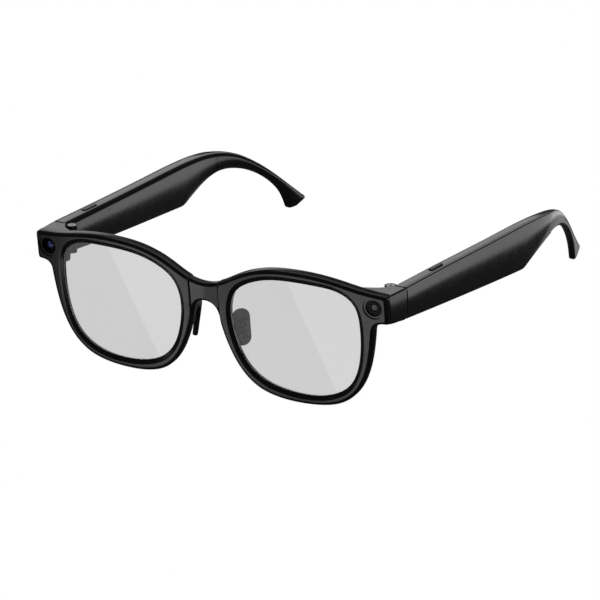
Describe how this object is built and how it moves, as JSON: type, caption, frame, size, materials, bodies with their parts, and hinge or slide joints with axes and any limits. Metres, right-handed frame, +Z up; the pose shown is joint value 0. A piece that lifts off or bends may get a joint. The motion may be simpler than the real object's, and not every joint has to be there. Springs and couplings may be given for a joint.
{
  "type": "smart glasses",
  "caption": "Plastic smart glasses with a wrapped front, clear lenses, endpiece camera and status light, nose pads and deep folding electronics temples with top buttons.",
  "frame": {"origin": "middle of the box's base with the temples open, on the surface the rims' lowest points stand on", "axes": "+X the wearer's left, +Y back along the temples, +Z up"},
  "size_m": [0.1542, 0.1752, 0.0518],
  "materials": {
    "front_plastic": "satin black",
    "temple_plastic": "satin black",
    "button_plastic": "satin black",
    "bezel_black": "matt black",
    "window_black": "polished black",
    "lens_grey": "light neutral tint",
    "camera_glass": "coated",
    "diffuser_grey": "frosted grey",
    "pad_silicone": "smoky translucent",
    "hinge_black": "black coated steel",
    "screw_steel": "bright",
    "switch_black": "matt",
    "bright_metal": "plain",
    "board_green": "solder mask",
    "foil_silver": "foil",
    "flex_amber": "polyimide film",
    "gold_contact": "gold plated"
  },
  "bodies": {
    "front": {"front_shell": "front_plastic", "rear_shell": "front_plastic", "lens_left": "lens_grey", "lens_right": "lens_grey", "front_flex": "flex_amber", "camera_bezel": "bezel_black", "camera_window": "window_black", "camera_lens_barrel": "switch_black", "camera_lens": "camera_glass", "camera_sensor": "switch_black", "light_bezel": "bezel_black", "light_window": "window_black", "light_diffuser": "diffuser_grey", "light_board": "board_green", "hinge_front_leaf_left": "hinge_black", "hinge_front_leaf_right": "hinge_black", "hinge_pin_left": "screw_steel", "hinge_pin_right": "screw_steel", "hinge_front_screws_left": "screw_steel", "hinge_front_screws_right": "screw_steel", "nose_pad_arm_left": "hinge_black", "nose_pad_arm_right": "hinge_black"},
    "left_temple": {"temple_body_left": "temple_plastic", "temple_cover_left": "temple_plastic", "button_switch_left": "switch_black", "microphone_left": "bright_metal", "circuit_board_left": "board_green", "battery_left": "foil_silver", "speaker_left": "switch_black", "speaker_mesh_left": "bright_metal", "hinge_temple_leaf_left": "hinge_black", "hinge_temple_screws_left": "screw_steel"},
    "left_button": {"button_left": "button_plastic"},
    "left_nose_pad": {"nose_pad_left": "pad_silicone"},
    "right_temple": {"temple_body_right": "temple_plastic", "temple_cover_right": "temple_plastic", "button_switch_right": "switch_black", "microphone_right": "bright_metal", "circuit_board_right": "board_green", "battery_right": "foil_silver", "speaker_right": "switch_black", "speaker_mesh_right": "bright_metal", "hinge_temple_leaf_right": "hinge_black", "hinge_temple_screws_right": "screw_steel", "charging_contacts": "gold_contact"},
    "right_button": {"button_right": "button_plastic"},
    "right_nose_pad": {"nose_pad_right": "pad_silicone"}
  },
  "joints": [
    {"name": "left_temple_fold", "type": "hinge", "parent": "front", "child": "left_temple", "pos_m": [0.0675, -0.0694, 0.04156], "axis": [0, 0, 1], "range_deg": [0, 92]},
    {"name": "right_temple_fold", "type": "hinge", "parent": "front", "child": "right_temple", "pos_m": [-0.0675, -0.0694, 0.04156], "axis": [0, 0, -1], "range_deg": [0, 80]},
    {"name": "left_button_press", "type": "slide", "parent": "left_temple", "child": "left_button", "axis": [0, 0, -1], "range_m": [0, 0.0004], "stiffness_N_per_m": 800, "springref_m": -0.0005},
    {"name": "right_button_press", "type": "slide", "parent": "right_temple", "child": "right_button", "axis": [0, 0, -1], "range_m": [0, 0.0004], "stiffness_N_per_m": 800, "springref_m": -0.0005},
    {"name": "left_nose_pad_rock", "type": "hinge", "parent": "front", "child": "left_nose_pad", "pos_m": [0.01172, -0.07658, 0.02301], "axis": [-0.1193, 0.0717, 0.9903], "range_deg": [-7, 7]},
    {"name": "right_nose_pad_rock", "type": "hinge", "parent": "front", "child": "right_nose_pad", "pos_m": [-0.01172, -0.07658, 0.02301], "axis": [0.1193, 0.0717, 0.9903], "range_deg": [-7, 7]}
  ]
}
